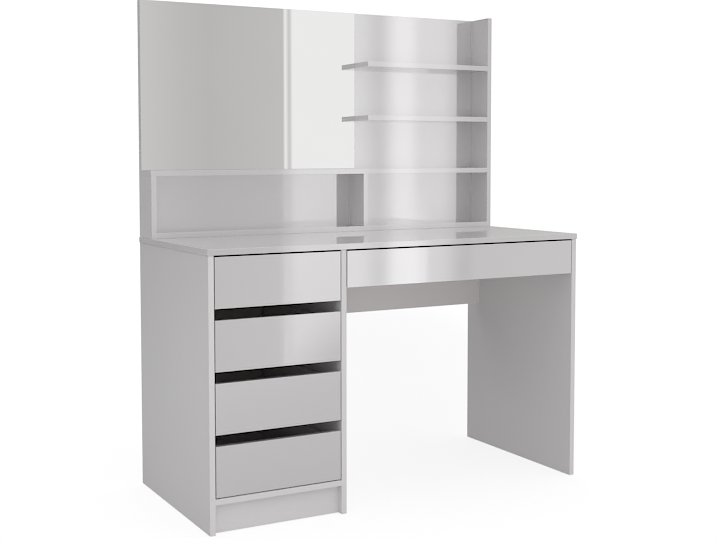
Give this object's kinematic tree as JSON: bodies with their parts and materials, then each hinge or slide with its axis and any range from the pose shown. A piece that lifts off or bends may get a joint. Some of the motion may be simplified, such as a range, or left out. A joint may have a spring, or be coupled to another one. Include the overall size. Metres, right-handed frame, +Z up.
{
  "type": "dressing table with mirror",
  "caption": "White gloss dressing table with a drawer pedestal, a wide knee drawer and a low hutch that holds a frameless mirror, a niche and open shelves.",
  "frame": {"origin": "centre of the footprint, on the floor, below the middle of the overall box", "axes": "+Z up, -Y towards the user (drawer fronts and mirror face -Y), +X to the user's right"},
  "size_m": [1.22, 0.534, 1.452],
  "materials": {
    "gloss_board": "high-gloss white lacquered board with matching edge banding",
    "satin_board": "white satin melamine-faced board with matching edge banding",
    "hardboard": "white-lacquered hardboard, bare brown behind",
    "drawer_board": "light grey matt melamine-faced board",
    "drawer_hardboard": "light grey lacquered hardboard",
    "mirror": "silvered float glass with ground edges",
    "slide_steel": "bright zinc-plated rolled steel",
    "zinc": "die-cast zinc and plated steel fittings",
    "glide_plastic": "moulded white plastic"
  },
  "bodies": {
    "carcass": {"tabletop": "gloss_board", "left_side_panel": "satin_board", "partition_panel": "satin_board", "right_leg_panel": "satin_board", "pedestal_bottom": "satin_board", "plinth": "satin_board", "pedestal_back": "hardboard", "knee_back_panel": "satin_board", "hutch_back_panel": "gloss_board", "hutch_right_side": "satin_board", "hutch_bottom_board": "satin_board", "niche_left_side": "satin_board", "niche_divider": "satin_board", "long_shelf": "satin_board", "middle_shelf": "satin_board", "upper_shelf": "satin_board", "mirror_glass": "mirror", "carcass_fittings": "zinc", "floor_glides": "glide_plastic", "cabinet_rails": "slide_steel"},
    "drawer_1": {"drawer_1_front": "gloss_board", "drawer_1_left_side": "drawer_board", "drawer_1_right_side": "drawer_board", "drawer_1_back": "drawer_board", "drawer_1_bottom": "drawer_hardboard", "drawer_1_fittings": "zinc", "drawer_1_slide_rails": "slide_steel"},
    "drawer_1_middle": {"drawer_1_middle_rails": "slide_steel"},
    "drawer_2": {"drawer_2_front": "gloss_board", "drawer_2_left_side": "drawer_board", "drawer_2_right_side": "drawer_board", "drawer_2_back": "drawer_board", "drawer_2_bottom": "drawer_hardboard", "drawer_2_fittings": "zinc", "drawer_2_slide_rails": "slide_steel"},
    "drawer_2_middle": {"drawer_2_middle_rails": "slide_steel"},
    "drawer_3": {"drawer_3_front": "gloss_board", "drawer_3_left_side": "drawer_board", "drawer_3_right_side": "drawer_board", "drawer_3_back": "drawer_board", "drawer_3_bottom": "drawer_hardboard", "drawer_3_fittings": "zinc", "drawer_3_slide_rails": "slide_steel"},
    "drawer_3_middle": {"drawer_3_middle_rails": "slide_steel"},
    "drawer_4": {"drawer_4_front": "gloss_board", "drawer_4_left_side": "drawer_board", "drawer_4_right_side": "drawer_board", "drawer_4_back": "drawer_board", "drawer_4_bottom": "drawer_hardboard", "drawer_4_fittings": "zinc", "drawer_4_slide_rails": "slide_steel"},
    "drawer_4_middle": {"drawer_4_middle_rails": "slide_steel"},
    "wide_drawer": {"wide_drawer_front": "gloss_board", "wide_drawer_left_side": "drawer_board", "wide_drawer_right_side": "drawer_board", "wide_drawer_back": "drawer_board", "wide_drawer_bottom": "drawer_hardboard", "wide_drawer_fittings": "zinc", "wide_drawer_slide_rails": "slide_steel"},
    "wide_drawer_middle": {"wide_drawer_middle_rails": "slide_steel"}
  },
  "joints": [
    {"name": "drawer_1_slide", "type": "slide", "parent": "carcass", "child": "drawer_1", "axis": [0, -1, 0], "range_m": [0, 0.45]},
    {"name": "drawer_1_middle_slide", "type": "slide", "parent": "carcass", "child": "drawer_1_middle", "axis": [0, -1, 0], "range_m": [0, 0.225]},
    {"name": "drawer_2_slide", "type": "slide", "parent": "carcass", "child": "drawer_2", "axis": [0, -1, 0], "range_m": [0, 0.45]},
    {"name": "drawer_2_middle_slide", "type": "slide", "parent": "carcass", "child": "drawer_2_middle", "axis": [0, -1, 0], "range_m": [0, 0.225]},
    {"name": "drawer_3_slide", "type": "slide", "parent": "carcass", "child": "drawer_3", "axis": [0, -1, 0], "range_m": [0, 0.45]},
    {"name": "drawer_3_middle_slide", "type": "slide", "parent": "carcass", "child": "drawer_3_middle", "axis": [0, -1, 0], "range_m": [0, 0.225]},
    {"name": "drawer_4_slide", "type": "slide", "parent": "carcass", "child": "drawer_4", "axis": [0, -1, 0], "range_m": [0, 0.45]},
    {"name": "drawer_4_middle_slide", "type": "slide", "parent": "carcass", "child": "drawer_4_middle", "axis": [0, -1, 0], "range_m": [0, 0.225]},
    {"name": "wide_drawer_slide", "type": "slide", "parent": "carcass", "child": "wide_drawer", "axis": [0, -1, 0], "range_m": [0, 0.4]},
    {"name": "wide_drawer_middle_slide", "type": "slide", "parent": "carcass", "child": "wide_drawer_middle", "axis": [0, -1, 0], "range_m": [0, 0.2]}
  ],
  "couplings": [
    {"joint": "drawer_1_middle_slide", "follows": "drawer_1_slide", "ratio": 0.5},
    {"joint": "drawer_2_middle_slide", "follows": "drawer_2_slide", "ratio": 0.5},
    {"joint": "drawer_3_middle_slide", "follows": "drawer_3_slide", "ratio": 0.5},
    {"joint": "drawer_4_middle_slide", "follows": "drawer_4_slide", "ratio": 0.5},
    {"joint": "wide_drawer_middle_slide", "follows": "wide_drawer_slide", "ratio": 0.5}
  ]
}
